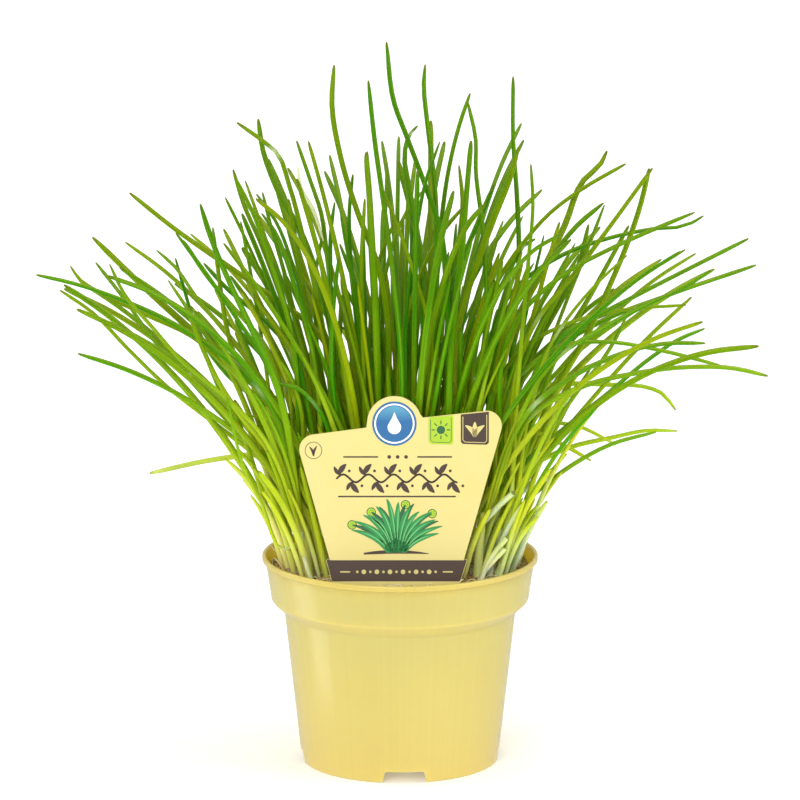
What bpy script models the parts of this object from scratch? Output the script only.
# A living chive plant in a round plastic nursery pot: pot, potting mix, stick label and a
# clump of plants, each a slender bulb and sheath with a few long tubular leaves.
# Lengths are in millimetres until a mesh is made; +Z is up and -Y is the front.

import math
import random

import bpy
import numpy as np

MM = 0.001
GAP = 0.35

# Pot: radius and height pairs, from the centre of the underside out, up and back down inside.
POT_SEGMENTS = 48
FLOOR_UNDERSIDE = 5.6
FLOOR_TOP = 6.8
POT_OUTSIDE = (
    (41.2, FLOOR_UNDERSIDE), (41.0, 0.0), (42.3, 0.0), (43.0, 1.2), (50.4, 67.0), (52.2, 69.4),
    (53.9, 71.0), (55.6, 72.2), (56.9, 76.0), (58.4, 88.6), (59.8, 89.6), (60.0, 91.0), (59.4, 91.7),
)
POT_INSIDE = (
    (58.4, 91.2), (57.2, 88.6), (55.7, 76.4), (54.6, 73.4), (51.2, 70.6), (49.2, 67.4),
    (41.8, FLOOR_TOP),
)
NOTCHES = 4
NOTCH_TURN = math.radians(2.6)
NOTCH_HEIGHT = 5.2
NOTCH_WIDTH_LOW = 19.2
NOTCH_WIDTH_HIGH = 16.8
NOTCH_REACH = (36.0, 48.0)
DRAINS = 8
DRAIN_RADIUS = 3.0
DRAIN_CIRCLE = 31.0
DRAIN_REACH = (1.0, 9.0)
DRAIN_SIDES = 10

# Potting mix
SOIL_TOP = 86.5
SOIL_SEGMENTS = 24
SOIL_RINGS = (0.0, 15.0, 30.0, 43.0, 56.2)
SOIL_LEVELS = ((41.2, FLOOR_TOP + 0.4), (48.7, 67.5), (50.6, 70.8), (54.0, 73.7))

# Label: across and up along its own plane, measured from the foot of the brown band.
LABEL_FOOT = (-40.0, 89.1)
LABEL_LEAN = math.radians(8.0)
LABEL_THICKNESS = 0.8
LABEL_DISC = (-2.4, 67.9, 11.8)
LABEL_CORNERS = ((37.0, 66.9), (-36.5, 56.7))
LABEL_CORNER = 6.6
LABEL_FOOT_RIGHT = ((8.0, -6.0), (10.0, -4.2), (24.0, -2.6), (25.4, -1.2), (25.9, 0.0), (28.9, 9.3))
LABEL_FOOT_LEFT = ((-8.0, -6.0), (-10.0, -4.2), (-27.4, -2.6), (-28.8, -1.2), (-29.3, 0.0), (-31.8, 9.3))
STAKE_HALF_WIDTH_LOW = 3.6
STAKE_TIP = -37.0

# Plants
PLANT_SPOTS = 46
PLANT_FIELD = 49.5
CROWN_LEVEL = 83.0
GOLDEN_ANGLE = math.radians(137.508)
HOLE_RADIUS = 3.65
HOLE_DEPTH = 13.0
HOLE_DEPTH_AT_WALL = 6.5
DEEP_HOLES_WITHIN = 43.5
BULB_RADIUS = 3.2
SHEATH_RADIUS = 2.3
LEADER_SIDES = 4
OTHER_SIDES = 3
LONGEST_STEP = 36.0
LEAF_TOTAL = 181
LEAVES_PER_PLANT = 7
LEAF_CLEARANCE = 0.35
CROWDED_LENGTH = 55.0
SIDE_LEAN = math.radians(40.0)
START_LEAN = (0.25, 0.55)
SIDE_START = 0.4
SECTION_SIZE = 0.56
FULL_WIDTH = 1.3
LONGEST_LEAF = 236.0
ROOM_ACROSS = 158.5
ROOM_DEEP = 106.0
RIM_CLEAR_HEIGHT = 95.0
RIM_CLEAR_RADIUS = 53.6
PLACING_TRIES = 160
FILLING_TRIES = 6000
BOW_STEPS = 42
BOW_STEPS_A_RING = 6
REACHING_TOP = 300.0
FILLING_TOP = 286.0
DOME_FALL = 0.0042
STUB_THICKNESS = 3.4
STUB_LEANS = (math.radians(38.0), math.radians(52.0))
SEED = 417

# How the front is seen: from far off and above, so a leaf further back is drawn lower by SLOPE.
SLOPE = 0.218
FAR = 2400.0
LABEL_SIDES = (-49.0, 51.0)
LABEL_ROOM = 3.6
ABOVE_LABEL = 166.0
OVER_LABEL = 174.0

# Leading leaves as the front shows them: thickness, then across and up for each point to the tip.
LEADERS = (
    (2.2, -10, 222, -18, 243, -25.5, 268, -29, 290, -28, 307),
    (2.2, 0, 180, -3, 212, -7.5, 246, -11.5, 275, -14, 299),
    (2.2, 21, 205, 18, 235, 12, 253, 3, 277, -1.5, 289, -5, 316),
    (2.4, -33, 205, -42, 233, -53, 254, -59, 271, -61, 285),
    (2.0, -34, 200, -41.5, 234, -46.5, 253, -52.5, 268.5, -56, 271.5, -69, 281),
    (1.8, -29, 205, -31.5, 228, -33.5, 243, -38, 257, -44, 275),
    (2.0, -45, 190, -53, 214, -60, 233, -66, 247, -71, 264),
    (1.8, -48, 195, -56, 222, -64, 244, -71.5, 259),
    (1.8, -45, 192, -51, 218, -57, 240, -60, 253),
    (1.6, -41, 200, -47, 222, -54, 240, -62, 251.5),
    (1.8, -40, 188, -48, 216, -55, 235, -60.5, 242.5),
    (1.8, -39, 190, -43, 220, -46, 238, -48, 250),
    (1.8, -29, 190, -29.3, 215, -28.8, 235, -27.3, 246),
    (1.8, -16, 195, -16.5, 220, -15, 248.5),
    (1.8, -19, 195, -21.8, 226, -22, 245, -20.5, 259.5),
    (2.0, -10, 190, -12, 230, -13.4, 270.5),
    (2.8, 12, 190, 9, 222, 4.5, 243, -1.5, 267),
    (1.6, 11, 200, 5.5, 218, -1, 237, -9.5, 257),
    (2.2, 10, 205, 8, 232, 4.5, 252, 2.5, 270, 5, 277.5, 8, 280.5),
    (2.0, 13.5, 190, 14.7, 225, 13.7, 255, 10.5, 282, 9, 299, 9.6, 307),
    (1.6, 5, 215, 8, 236, 12, 257, 18, 274),
    (2.0, 15.5, 205, 17.5, 236, 21, 262, 25.5, 281, 30, 294.5),
    (2.0, 38, 200, 36, 236, 33, 261, 33, 273, 29.5, 289.5),
    (2.0, 48, 190, 50.3, 225, 49.3, 250, 47.6, 275, 47.5, 302),
    (2.6, 28, 200, 35, 222, 42, 241, 48, 256, 52, 270),
    (1.6, 52, 195, 54.3, 222, 56, 245, 55, 262),
    (2.4, 22, 195, 25.5, 225, 27.5, 250, 29.3, 271.5),
    (1.8, 21, 200, 24.3, 230, 26, 250, 24.5, 265.5),
    (2.2, 17, 200, 26, 221, 34, 240, 40, 254.5),
    (2.0, 0, 182, 5, 205, 12, 224, 19, 236, 27, 245.7),
    (1.6, -7, 215, -1, 237, 5, 248.5, 12, 256),
    (2.6, 50, 195, 62, 219, 71, 238, 79, 258, 86.5, 265.5, 89, 271),
    (1.8, 38, 205, 55, 232, 64, 242, 77, 252, 96.5, 263.5),
    (2.4, 70, 172, 80, 190, 88, 208, 97, 230, 102.5, 247, 106, 262.5),
    (2.0, 60, 195, 76, 215, 90, 234, 109, 260.5),
    (2.4, 48, 200, 64, 222, 75, 236, 86.5, 246),
    (1.6, 73, 205, 80, 223, 89, 247.5),
    (2.6, 51, 166, 60, 188, 70, 207, 76.5, 221, 80.5, 239),
    (2.2, 70, 188, 80, 205, 89, 222, 97.5, 238.5),
    (1.8, 52, 212, 70, 224.5, 90, 232, 108, 236, 124, 238, 130.5, 242),
    (1.8, 55, 200, 74, 216, 90, 224.5, 110, 233.5, 127, 240.5),
    (2.0, 70, 190, 90, 201, 110, 211.5, 149, 231.5),
    (2.0, 70, 185, 88, 196, 115, 207, 154, 221),
    (1.8, 72, 182, 90, 193, 108, 202.5, 124, 210, 134.5, 217),
    (1.8, 60, 133, 75, 152, 90, 170, 108, 190, 125, 206.5),
    (1.6, 58, 186, 75, 194.5, 95, 199.5, 124.5, 202),
    (1.6, 72, 178, 85, 189, 106, 204),
    (1.8, 55, 133, 72, 148, 90, 163, 110, 180, 121, 187.5, 132.5, 192.5),
    (2.0, 60, 158, 80, 172, 98, 180, 115, 183.8, 133, 184),
    (2.0, 58, 155, 80, 167, 100, 172, 125, 175, 145, 174.3, 159, 171),
    (1.8, 52, 172, 70, 184.5, 88, 186.2, 112, 182.5, 139, 175.5),
    (2.0, 45, 158, 58, 164.8, 75, 166.5, 90, 166, 104, 165.3, 112, 162.5, 118.5, 154.5),
    (1.8, 50, 125, 72, 138, 92, 143, 106, 146, 120, 145.8),
    (1.8, 40, 100, 58, 117, 75, 130.5, 92, 140, 112, 145.7),
    (1.6, 50, 142, 62, 149, 75, 148.5, 93, 140),
    (1.8, 45, 140, 58, 146, 70, 140.5, 82, 133.5),
    (1.4, 70, 190, 84, 208, 99, 222.5),
    (2.2, 55, 176, 66, 187, 80, 201, 92.5, 211),
    (2.2, 30, 180, 40, 204, 48, 221, 53, 230, 58, 233),
    (1.6, 24, 175, 32, 200, 42, 232),
    (2.2, 36, 180, 38.5, 203, 39.8, 223),
    (1.9, -60, 165, -80, 183, -100, 195.5, -120, 204.5, -140, 211.3, -156, 215),
    (1.7, -45, 118, -62, 135.5, -80, 150, -100, 166, -117, 183, -132, 199, -146, 209),
    (1.9, -55, 158, -74, 174, -90, 187.5, -110, 197, -134, 209, -137.5, 211.5, -142, 218),
    (2.8, -62, 158, -78, 178, -92, 192.5, -108, 207.5, -133.5, 233),
    (1.7, -58, 135, -74, 152, -90, 170, -105, 187, -118, 206, -130, 222),
    (1.6, -60, 145, -78, 163, -92, 174.5, -106, 190.5, -118, 205, -124, 217.5),
    (2.2, -35, 190, -55, 206, -75, 220.5, -95, 235, -115.5, 252),
    (1.7, -60, 170, -77, 193, -88, 207, -97, 220.5, -105, 228),
    (1.8, -58, 175, -72, 197, -83, 213.5, -97, 232.5),
    (2.0, -60, 188, -72, 202, -83, 215.5, -93, 231),
    (1.7, -70, 150, -81, 175, -89, 199, -96, 225),
    (1.8, -65, 162, -80, 182, -100, 212),
    (2.4, -55, 172, -66, 196, -75, 215.5, -81.5, 232, -85.5, 245),
    (2.0, -66, 160, -75.5, 190, -79, 214, -81.5, 235.5),
    (2.0, -42, 175, -60, 197, -73, 208, -84, 220.5),
    (3.0, -40, 178, -52, 202, -62, 220, -68.5, 229.5),
    (1.8, -48, 180, -58, 197, -66, 213.5),
    (1.8, -58, 160, -76, 184, -88, 199.5),
    (2.3, -34, 118, -46, 132, -60, 134.5, -80, 132.5, -109, 126),
    (1.3, -50, 95, -60, 115, -68, 132, -75, 162),
    (1.3, -35, 140, -48, 149.5, -60, 151.5, -74, 152.5),
    (1.6, -42, 145, -47, 162, -52.5, 179),
    (1.5, -35, 190, -35.5, 214, -31, 240),
    (2.0, -14, 185, -19, 210, -26, 229.5),
    (2.0, -29, 170, -28.5, 198, -26, 222),
    (1.8, -14, 190, -10.5, 220, -4, 238),
    (1.6, 20, 165, 5, 179, -8, 185, -28, 194.5),
    (1.8, 30, 165, 19, 182.5, 3.5, 201),
    (1.8, 60, 140, 68, 153, 76, 165, 86, 178, 92, 188, 97, 199),
    (2.0, 58, 160, 72, 171, 84, 177, 96, 180.5),
    (2.2, 60, 176, 72, 188, 86, 196.5, 97, 200.5),
    (2.0, 57, 160, 68, 171.5, 80, 185, 94, 194),
    (2.0, -46, 180, -54, 192, -60, 200, -64, 206),
    (2.2, -45, 150, -60, 160, -72, 169, -84, 184, -92, 200),
    (2.0, -55, 135, -70, 155, -78, 168, -84, 181, -91, 199),
    (1.8, -38, 160, -45, 166.5, -55, 168.5),
    (1.6, -46, 166, -50, 174.5, -53, 179),
)
# Leaves that reach forward and back: direction in degrees, lean at the tip, length.
REACHING = (
    (-62, 76, 204), (-70, 72, 204), (-110, 72, 204), (-176, 58, 150), (-170, 66, 156),
    (-164, 72, 150), (-146, 70, 164), (-154, 60, 144), (-168, 54, 160), (-28, 74, 156),
    (-54, 60, 180), (-12, 54, 160), (-30, 78, 170), (14, 66, 156), (20, 64, 156), (27, 70, 150),
    (34, 68, 160), (146, 68, 160), (153, 70, 150), (160, 64, 156), (166, 66, 156), (172, 60, 150),
    (72, 66, 186), (84, 64, 184), (97, 64, 184), (109, 66, 186), (90, 54, 184), (58, 70, 176),
    (122, 70, 176), (-72, 50, 190), (-84, 40, 186), (-97, 38, 190), (66, 62, 180), (78, 54, 176),
    (103, 52, 176), (114, 62, 176), (56, 66, 166), (125, 66, 166), (86, 38, 176),
)
# Cut stubs: direction in degrees, length, and the spot across and deep that they stand near.
STUBS = ((-24, 24, 44, -14), (4, 24, 42, 8), (150, 20, -30, 22), (60, 30, 12, 30))


def clear_scene():
    for item in list(bpy.data.objects):
        bpy.data.objects.remove(item, do_unlink=True)


def material(name, colour, roughness):
    made = bpy.data.materials.new(name)
    made.use_nodes = True
    shader = made.node_tree.nodes["Principled BSDF"]
    shader.inputs["Base Color"].default_value = (*colour, 1.0)
    shader.inputs["Roughness"].default_value = roughness
    made.diffuse_color = (*colour, 1.0)
    return made


def solid(name, points, faces, finish=None):
    mesh = bpy.data.meshes.new(name)
    scaled = [tuple(float(value) * MM for value in point) for point in points]
    mesh.from_pydata(scaled, [], faces)
    mesh.validate()
    mesh.update()
    body = bpy.data.objects.new(name, mesh)
    bpy.context.scene.collection.objects.link(body)
    if finish:
        mesh.materials.append(finish)
    return body


def combine(body, others, operation):
    """Join or cut a body with a group of bodies in one Boolean, then drop the group."""
    group = bpy.data.collections.new("group")
    bpy.context.scene.collection.children.link(group)
    for other in others:
        group.objects.link(other)
    step = body.modifiers.new("combine", "BOOLEAN")
    step.operation = operation
    step.solver = "EXACT"
    step.use_self = operation == "UNION"
    step.operand_type = "COLLECTION"
    step.collection = group
    bpy.context.view_layer.update()
    shaped = body.evaluated_get(bpy.context.evaluated_depsgraph_get())
    mesh = bpy.data.meshes.new_from_object(shaped)
    body.modifiers.remove(step)
    finish = list(body.data.materials)
    body.data = mesh
    mesh.materials.clear()
    for item in finish:
        mesh.materials.append(item)
    for other in others:
        bpy.data.objects.remove(other, do_unlink=True)
    bpy.data.collections.remove(group)


def turned(name, profile, segments, finish=None):
    """A turned body from radius and height pairs that start and end on the axis."""
    points = [(0.0, 0.0, profile[0][1])]
    for radius, height in profile[1:-1]:
        for step in range(segments):
            angle = math.tau * step / segments
            points.append((radius * math.cos(angle), radius * math.sin(angle), height))
    points.append((0.0, 0.0, profile[-1][1]))
    faces = []
    last = len(points) - 1
    rings = len(profile) - 2
    for step in range(segments):
        after = (step + 1) % segments
        faces.append((0, 1 + after, 1 + step))
        for ring in range(rings - 1):
            low = 1 + ring * segments
            high = low + segments
            faces.append((low + step, low + after, high + after, high + step))
        top = 1 + (rings - 1) * segments
        faces.append((top + step, top + after, last))
    return solid(name, points, faces, finish)


def prism(name, outline, place):
    """A closed body between an outline placed at both ends of its thickness."""
    count = len(outline)
    points = [place(across, up, 0) for across, up in outline]
    points += [place(across, up, 1) for across, up in outline]
    faces = [tuple(range(count)), tuple(range(2 * count - 1, count - 1, -1))]
    for step in range(count):
        after = (step + 1) % count
        faces.append((step, step + count, after + count, after))
    return solid(name, points, faces)


def fix_facing(body):
    """Turn all faces outward if the body's signed volume is negative."""
    mesh = body.data
    volume = 0.0
    for face in mesh.polygons:
        corners = [mesh.vertices[index].co for index in face.vertices]
        for step in range(1, len(corners) - 1):
            volume += corners[0].dot(corners[step].cross(corners[step + 1]))
    if volume < 0.0:
        mesh.flip_normals()


def make_pot():
    finish = material("yellow plastic", (0.80, 0.71, 0.22), 0.38)
    profile = ((0.0, FLOOR_UNDERSIDE),) + POT_OUTSIDE + POT_INSIDE + ((0.0, FLOOR_TOP),)
    pot = turned("pot", profile, POT_SEGMENTS, finish)
    fix_facing(pot)
    cutters = []
    for step in range(NOTCHES):
        turn = NOTCH_TURN - math.pi / 2 + math.tau * step / NOTCHES
        outline = (
            (-NOTCH_WIDTH_LOW / 2, -1.0), (NOTCH_WIDTH_LOW / 2, -1.0),
            (NOTCH_WIDTH_HIGH / 2, NOTCH_HEIGHT), (-NOTCH_WIDTH_HIGH / 2, NOTCH_HEIGHT),
        )

        def place(across, up, end, turn=turn):
            out = NOTCH_REACH[end]
            return (
                out * math.cos(turn) - across * math.sin(turn),
                out * math.sin(turn) + across * math.cos(turn),
                up,
            )

        cutters.append(prism("notch", outline, place))
    for step in range(DRAINS):
        turn = math.tau * (step + 0.5) / DRAINS
        middle = (DRAIN_CIRCLE * math.cos(turn), DRAIN_CIRCLE * math.sin(turn))
        path = [(*middle, height) for height in DRAIN_REACH]
        cutters.append(tube("drain", path, (DRAIN_RADIUS,) * 2, DRAIN_SIDES))
    for cutter in cutters:
        fix_facing(cutter)
    combine(pot, cutters, "DIFFERENCE")
    return pot


def soil_height(across, deep):
    """The mounded, slightly uneven top of the potting mix."""
    wave = math.sin(across * 0.11 + 1.3) * math.cos(deep * 0.13 + 0.4)
    ripple = math.sin(across * 0.31 + deep * 0.23)
    edge = (across * across + deep * deep) / 3000.0
    return SOIL_TOP + 0.8 * wave + 0.4 * ripple + 0.6 * (1.0 - edge)


def hole_depth(across, deep):
    """Holes by the wall are shallow, above the pot's shoulder."""
    return HOLE_DEPTH if math.hypot(across, deep) < DEEP_HOLES_WITHIN else HOLE_DEPTH_AT_WALL


def make_soil(spots):
    finish = material("potting mix", (0.10, 0.06, 0.035), 0.95)
    points = []
    for radius in SOIL_RINGS[1:]:
        for step in range(SOIL_SEGMENTS):
            angle = math.tau * step / SOIL_SEGMENTS
            across = radius * math.cos(angle)
            deep = radius * math.sin(angle)
            points.append((across, deep, soil_height(across, deep)))
    for radius, height in reversed(SOIL_LEVELS):
        for step in range(SOIL_SEGMENTS):
            angle = math.tau * step / SOIL_SEGMENTS
            points.append((radius * math.cos(angle), radius * math.sin(angle), height))
    top = len(points)
    points.append((0.0, 0.0, soil_height(0.0, 0.0)))
    points.append((0.0, 0.0, SOIL_LEVELS[0][1]))
    faces = []
    rings = len(SOIL_RINGS) - 1 + len(SOIL_LEVELS)
    for step in range(SOIL_SEGMENTS):
        after = (step + 1) % SOIL_SEGMENTS
        faces.append((top, step, after))
        for ring in range(rings - 1):
            here = ring * SOIL_SEGMENTS
            below = here + SOIL_SEGMENTS
            faces.append((here + step, below + step, below + after, here + after))
        base = (rings - 1) * SOIL_SEGMENTS
        faces.append((base + step, top + 1, base + after))
    soil = solid("potting_mix", points, faces, finish)
    fix_facing(soil)
    cutters = []
    for across, deep in spots:
        path = ((across, deep, SOIL_TOP - hole_depth(across, deep)), (across, deep, SOIL_TOP + 9.0))
        cutters.append(tube("hole", path, (HOLE_RADIUS,) * 2, 6))
    slot = [(x - GAP, y - GAP) for x, y in LABEL_FOOT_LEFT[::-1]]
    slot += [(-STAKE_HALF_WIDTH_LOW - GAP, STAKE_TIP - 0.6), (STAKE_HALF_WIDTH_LOW + GAP, STAKE_TIP - 0.6)]
    slot += [(x + GAP, y - GAP) for x, y in LABEL_FOOT_RIGHT]
    cutters.append(prism("slot", slot, on_label(LABEL_THICKNESS + 2 * GAP)))
    for cutter in cutters:
        fix_facing(cutter)
    combine(soil, cutters, "DIFFERENCE")
    return soil


def on_label(thickness):
    """A function that places across/up points of the label's plane, front face first."""
    sine = math.sin(LABEL_LEAN)
    cosine = math.cos(LABEL_LEAN)

    def place(across, up, end):
        off = (end - 0.5) * thickness
        return (
            across,
            LABEL_FOOT[0] + up * sine + off * cosine,
            LABEL_FOOT[1] + up * cosine - off * sine,
        )

    return place


def arc(middle_x, middle_y, radius, start, end, steps):
    points = []
    for step in range(steps + 1):
        angle = math.radians(start + (end - start) * step / steps)
        points.append((middle_x + radius * math.cos(angle), middle_y + radius * math.sin(angle)))
    return points


def label_outline():
    """Around the label anticlockwise, from the stake's tip."""
    disc_x, disc_y, disc_radius = LABEL_DISC
    points = [
        (0.0, STAKE_TIP), (STAKE_HALF_WIDTH_LOW, STAKE_TIP + 4.5), *LABEL_FOOT_RIGHT, (27.5, 9.8),
    ]
    points += arc(*LABEL_CORNERS[0], LABEL_CORNER, -14, 85, 5)
    points += [(9.8, 70.5)]
    points += arc(disc_x, disc_y, disc_radius, 20, 166, 9)
    points += [(-14.4, 66.2)]
    points += arc(*LABEL_CORNERS[1], LABEL_CORNER, 96, 194, 5)
    points += [(-30.2, 9.8), *LABEL_FOOT_LEFT[::-1], (-STAKE_HALF_WIDTH_LOW, STAKE_TIP + 4.5)]
    return points


def make_label():
    label = prism("plant_label", label_outline(), on_label(LABEL_THICKNESS))
    label.data.materials.append(material("cream plastic", (0.88, 0.84, 0.42), 0.4))
    fix_facing(label)
    return label


def tube(name, path, radii, sides, finish=None):
    """A closed tube along a path, carrying its section without twist."""
    path = np.array(path, float)
    steps = np.gradient(path, axis=0)
    steps /= np.linalg.norm(steps, axis=1)[:, None]
    side = np.array((1.0, 0.0, 0.0))
    if abs(steps[0] @ side) > 0.9:
        side = np.array((0.0, 1.0, 0.0))
    points = []
    for middle, ahead, radius in zip(path, steps, radii):
        side = side - ahead * (side @ ahead)
        side /= np.linalg.norm(side)
        across = np.cross(ahead, side)
        for step in range(sides):
            angle = math.tau * step / sides
            points.append(middle + radius * (math.cos(angle) * side + math.sin(angle) * across))
    faces = [tuple(range(sides - 1, -1, -1))]
    for ring in range(len(path) - 1):
        low = ring * sides
        for step in range(sides):
            after = (step + 1) % sides
            faces.append((low + step, low + after, low + sides + after, low + sides + step))
    last = (len(path) - 1) * sides
    faces.append(tuple(range(last, last + sides)))
    return solid(name, points, faces, finish)


def plant_spots():
    """Even spots over the pot by the golden angle, clear of the label."""
    rng = random.Random(SEED)
    spots = []
    for index in range(PLANT_SPOTS):
        radius = PLANT_FIELD * math.sqrt((index + 0.5) / PLANT_SPOTS)
        angle = index * GOLDEN_ANGLE + 0.4
        across = radius * math.cos(angle) + rng.uniform(-0.9, 0.9)
        deep = radius * math.sin(angle) + rng.uniform(-0.9, 0.9)
        if deep < -29.0 and abs(across) < 40.0:
            continue
        spots.append((across, deep))
    return spots


def segment_gaps(starts, ends, other_starts, other_ends):
    """Least distances between every segment of one set and every segment of another."""
    first = (ends - starts)[:, None, :]
    second = (other_ends - other_starts)[None, :, :]
    between = starts[:, None, :] - other_starts[None, :, :]
    a = (first * first).sum(2)
    e = (second * second).sum(2)
    b = (first * second).sum(2)
    c = (first * between).sum(2)
    f = (second * between).sum(2)
    lean = a * e - b * b
    s = np.clip((b * f - c * e) / np.where(lean > 1e-9, lean, 1.0), 0.0, 1.0)
    t = np.clip((b * s + f) / e, 0.0, 1.0)
    s = np.clip((b * t - c) / a, 0.0, 1.0)
    return np.linalg.norm(between + first * s[..., None] - second * t[..., None], axis=2)


class Clump:
    """The plants, their leaves, and the room each leaf takes up."""

    def __init__(self, spots):
        rng = random.Random(SEED + 1)
        self.plants = []
        self.starts = np.zeros((0, 3))
        self.ends = np.zeros((0, 3))
        self.widths = np.zeros(0)
        self.owners = np.zeros(0, int)
        self.low = np.zeros(0, bool)
        for index, (across, deep) in enumerate(spots):
            height = rng.uniform(14.0, 34.0)
            reach = math.hypot(across, deep) / PLANT_FIELD
            lean = reach * rng.uniform(0.08, 0.22)
            away = math.atan2(deep, across) + rng.uniform(-0.3, 0.3)
            fork = np.array((
                across + lean * height * math.cos(away),
                deep + lean * height * math.sin(away),
                CROWN_LEVEL + height,
            ))
            depth = hole_depth(across, deep)
            path = np.array((
                (across, deep, SOIL_TOP - depth + GAP), (across, deep, SOIL_TOP - 0.62 * depth),
                (across, deep, SOIL_TOP + 2.0), tuple(fork),
            ))
            radii = (1.2, BULB_RADIUS, SHEATH_RADIUS + 0.5, SHEATH_RADIUS)
            self.plants.append({"path": path, "radii": radii, "fork": fork, "away": away, "leaves": []})
            self.take_room(path[2:], np.array(radii[2:]), index)

    def take_room(self, path, radii, owner):
        steps = len(path) - 1
        self.starts = np.vstack((self.starts, path[:-1]))
        self.ends = np.vstack((self.ends, path[1:]))
        self.widths = np.append(self.widths, np.maximum(radii[:-1], radii[1:]))
        self.owners = np.append(self.owners, np.full(steps, owner))
        self.low = np.append(self.low, distances(path)[:-1] < CROWDED_LENGTH)

    def is_clear(self, path, radii, owner):
        if (np.abs(path[:, 0]) > ROOM_ACROSS).any() or (np.abs(path[:, 1]) > ROOM_DEEP).any():
            return False
        fine = finer(path)
        away = np.hypot(fine[:, 0], fine[:, 1])
        if ((fine[:, 2] < RIM_CLEAR_HEIGHT) & (away > RIM_CLEAR_RADIUS)).any():
            return False
        widths = np.maximum(radii[:-1], radii[1:])
        gaps = segment_gaps(path[:-1], path[1:], self.starts, self.ends)
        gaps = gaps - widths[:, None] - self.widths[None, :] - LEAF_CLEARANCE
        own = self.owners == owner
        low = distances(path)[:-1] < CROWDED_LENGTH
        gaps[:, own & self.low] = 1.0
        gaps[low[:, None] & own[None, :]] = 1.0
        return bool(gaps.min() > 0.0) and label_is_clear(fine)

    def add(self, path, radii, owner, sides):
        self.plants[owner]["leaves"].append((path, radii, sides))
        self.take_room(path, radii, owner)


def distances(path):
    """How far along a path each of its points is."""
    return np.append(0.0, np.cumsum(np.linalg.norm(path[1:] - path[:-1], axis=1)))


def finer(path):
    parts = [path[:-1] + (path[1:] - path[:-1]) * part / 8.0 for part in range(8)]
    return np.vstack(parts + [path[-1:]])


def label_is_clear(fine):
    """Leaves pass above or beside the label, and none hangs in front of it."""
    plane = LABEL_FOOT[0] + (fine[:, 2] - LABEL_FOOT[1]) * math.tan(LABEL_LEAN)
    seen = fine[:, 2] + SLOPE * (fine[:, 1] - plane)
    beside = (fine[:, 0] < LABEL_SIDES[0]) | (fine[:, 0] > LABEL_SIDES[1])
    behind = fine[:, 1] > plane + LABEL_ROOM
    over = (seen > ABOVE_LABEL) & ((fine[:, 2] > OVER_LABEL) | (fine[:, 1] < plane - LABEL_ROOM))
    return bool((beside | behind | over).all())


def leaf_radii(path, thickness, cut=False):
    """A narrow neck, the full width by a third of the length, then a slow taper to a blunt tip."""
    share = distances(path)
    share = share / share[-1]
    neck = np.minimum(1.0, 0.7 + share)
    taper = 1.0 if cut else FULL_WIDTH - (FULL_WIDTH - 1.0) * share ** 1.5
    radii = thickness * SECTION_SIZE * neck * taper
    if not cut:
        radii[-1] *= 0.6
    return np.maximum(0.55, radii)


def smooth_line(points, longest):
    """A smooth line through points, with no step longer than asked."""
    reach = distances(points)
    slope = np.gradient(points, reach, axis=0)
    line = []
    for index in range(len(points) - 1):
        span = reach[index + 1] - reach[index]
        steps = max(1, math.ceil(span / longest))
        for step in range(steps):
            t = step / steps
            line.append(
                (2 * t ** 3 - 3 * t ** 2 + 1) * points[index]
                + (t ** 3 - 2 * t ** 2 + t) * span * slope[index]
                + (3 * t ** 2 - 2 * t ** 3) * points[index + 1]
                + (t ** 3 - t ** 2) * span * slope[index + 1])
    return np.array(line + [points[-1]])


def bowed(start, away, lean_start, lean_tip, length):
    """Points along a leaf that leans further over the longer it gets."""
    share = (np.arange(BOW_STEPS) + 0.5) / BOW_STEPS
    lean = lean_start + (lean_tip - lean_start) * share ** 1.25
    ahead = np.column_stack((
        np.sin(lean) * math.cos(away), np.sin(lean) * math.sin(away), np.cos(lean),
    ))
    path = start + np.vstack((np.zeros(3), np.cumsum(ahead * length / BOW_STEPS, axis=0)))
    return path[::BOW_STEPS_A_RING]


def under_dome(path, top):
    """Whether a leaf stays inside the clump's outline as the front shows it."""
    return bool((path[:, 2] + SLOPE * path[:, 1] < top - DOME_FALL * path[:, 0] ** 2).all())


def nearest_plant(clump, across, deep, most):
    def cost(index):
        plant = clump.plants[index]
        away = math.hypot(plant["path"][0][0] - across, plant["path"][0][1] - deep)
        return away + 5.0 * len(plant["leaves"])

    free = [i for i in range(len(clump.plants)) if len(clump.plants[i]["leaves"]) < most]
    return min(free, key=cost)


def leaf_start(plant, away):
    """Just inside the sheath, on the side the leaf leaves it."""
    down = plant["path"][2] - plant["fork"]
    down = down / np.linalg.norm(down)
    return plant["fork"] + down * 5.0 + np.array((0.7 * math.cos(away), 0.7 * math.sin(away), 0.0))


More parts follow.
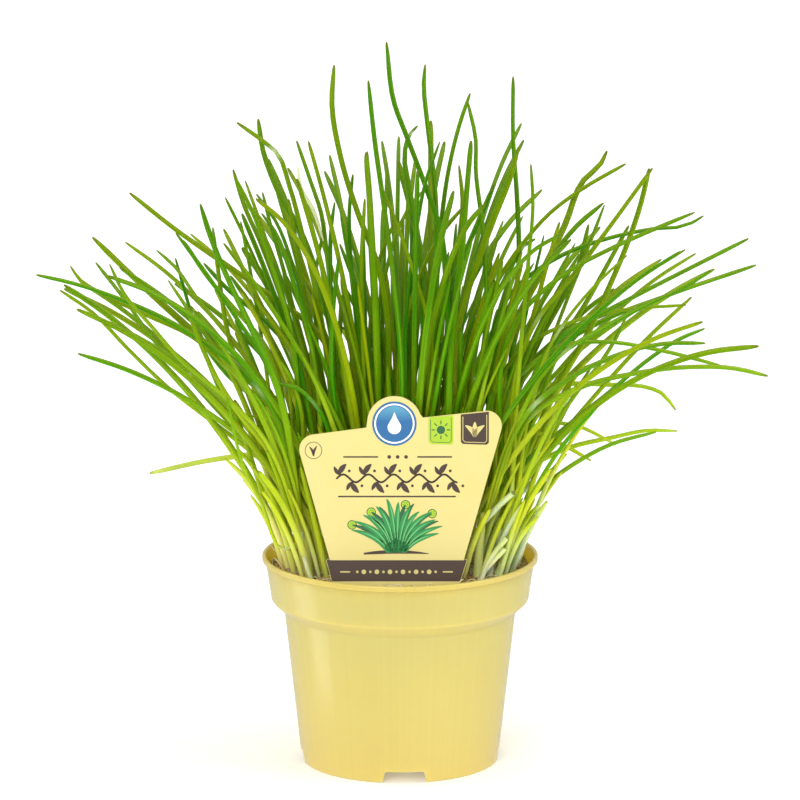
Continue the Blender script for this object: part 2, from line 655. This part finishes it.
def grow_leaders(clump):
    missed = []
    for index, (thickness, *row) in enumerate(LEADERS):
        rng = random.Random(SEED * 31 + index)
        front = np.array(row, float).reshape(-1, 2)
        flat = math.hypot(front[-1][0] * 0.72, front[-1][1] - 84.0)
        room = 0.6 * math.sqrt(max(30.0 ** 2, LONGEST_LEAF ** 2 - flat ** 2))
        for attempt in range(PLACING_TRIES):
            deep = rng.uniform(-room, room) * min(1.0, 0.5 + attempt / 50.0)
            root = max(-46.0, min(46.0, 0.85 * front[0][0])) + rng.uniform(-6, 6)
            owner = nearest_plant(clump, root, 0.4 * deep + rng.uniform(-12, 12), 6)
            plant = clump.plants[owner]
            turn = math.atan2(deep - plant["fork"][1], front[-1][0] - plant["fork"][0])
            start = leaf_start(plant, turn)
            seen = np.vstack(((start[0], start[2] + SLOPE * start[1]), front))
            share = distances(seen)
            depth = start[1] + (deep - start[1]) * (share / share[-1]) ** 1.1
            points = np.column_stack((
                seen[:, 0] * (1.0 + depth / FAR), depth, seen[:, 1] - SLOPE * depth,
            ))
            points[0] = start
            points[1:, 0::2] += (rng.uniform(-1.2, 1.2), rng.uniform(-1.2, 1.2))
            path = smooth_line(points, LONGEST_STEP)
            radii = leaf_radii(path, thickness)
            if clump.is_clear(path, radii, owner):
                clump.add(path, radii, owner, LEADER_SIDES)
                break
        else:
            missed.append(index)
    return missed


def grow_reaching(clump):
    missed = []
    for index, (turn, lean, length) in enumerate(REACHING):
        rng = random.Random(SEED * 53 + 7 * turn + length)
        for attempt in range(PLACING_TRIES):
            away = math.radians(turn + rng.uniform(-5, 5))
            hold = rng.uniform(6, 34) if turn > 0 else 10.0
            root = (34 * math.cos(away) + rng.uniform(-9, 9), hold * math.sin(away) + rng.uniform(-9, 9))
            owner = nearest_plant(clump, *root, LEAVES_PER_PLANT)
            start = leaf_start(clump.plants[owner], away)
            tip_lean = math.radians(lean + rng.uniform(-6, 6))
            first_lean = math.radians(rng.uniform(0, 10)) + SIDE_START * tip_lean * math.cos(away) ** 2
            path = bowed(start, away, first_lean, tip_lean, length)
            radii = leaf_radii(path, rng.uniform(1.8, 2.6))
            if under_dome(path, REACHING_TOP) and clump.is_clear(path, radii, owner):
                clump.add(path, radii, owner, LEADER_SIDES)
                break
        else:
            missed.append(index)
    return missed


def grow_stubs(clump):
    missed = []
    for index, (turn, length, across, deep) in enumerate(STUBS):
        owner = nearest_plant(clump, across, deep, LEAVES_PER_PLANT)
        away = math.radians(turn)
        start = leaf_start(clump.plants[owner], away)
        path = bowed(start, away, *STUB_LEANS, length)[::2]
        radii = leaf_radii(path, STUB_THICKNESS, cut=True)
        if clump.is_clear(path, radii, owner):
            clump.add(path, radii, owner, LEADER_SIDES)
        else:
            missed.append(index)
    return missed


def grow_rest(clump):
    """Fill the clump with seeded leaves that stay under its domed outline."""
    rng = random.Random(SEED + 7)
    grown = sum(len(plant["leaves"]) for plant in clump.plants)
    for attempt in range(FILLING_TRIES):
        if grown >= LEAF_TOTAL:
            return
        owner = min(
            rng.sample(range(len(clump.plants)), 3),
            key=lambda index: len(clump.plants[index]["leaves"]),
        )
        plant = clump.plants[owner]
        if len(plant["leaves"]) >= LEAVES_PER_PLANT:
            continue
        reach = math.hypot(plant["path"][0][0], plant["path"][0][1]) / PLANT_FIELD
        away = plant["away"] + rng.gauss(0.0, 1.3 - 0.7 * reach)
        lean = math.radians(rng.uniform(4.0, 26.0) + reach * rng.uniform(2.0, 46.0))
        if lean > SIDE_LEAN and abs(math.cos(away)) > 0.75:
            continue
        length = LONGEST_LEAF * (0.42 + 0.5 * rng.random() ** 0.9) * (1.0 - 0.2 * lean)
        path = bowed(leaf_start(plant, away), away, lean * rng.uniform(*START_LEAN), lean, length)
        radii = leaf_radii(path, rng.uniform(1.5, 2.5))
        if under_dome(path, FILLING_TOP) and clump.is_clear(path, radii, owner):
            clump.add(path, radii, owner, OTHER_SIDES)
            grown += 1


def make_plant(index, plant):
    finish = material(f"chive green {index:02d}", (0.16, 0.36, 0.03), 0.45)
    body = tube(f"chive_plant_{index:02d}", plant["path"], plant["radii"], 6, finish)
    leaves = [tube("leaf", path, radii, sides) for path, radii, sides in plant["leaves"]]
    fix_facing(body)
    for leaf in leaves:
        fix_facing(leaf)
    if leaves:
        combine(body, leaves, "UNION")
    return body


def main():
    clear_scene()
    spots = plant_spots()
    clump = Clump(spots)
    missed = (grow_leaders(clump), grow_stubs(clump), grow_reaching(clump))
    grow_rest(clump)
    print("plants", len(spots), "leaves", sum(len(p["leaves"]) for p in clump.plants))
    print("leading, cut and reaching leaves with no room:", *missed)
    make_pot()
    make_soil(spots)
    make_label()
    for index, plant in enumerate(clump.plants):
        make_plant(index + 1, plant)


main()
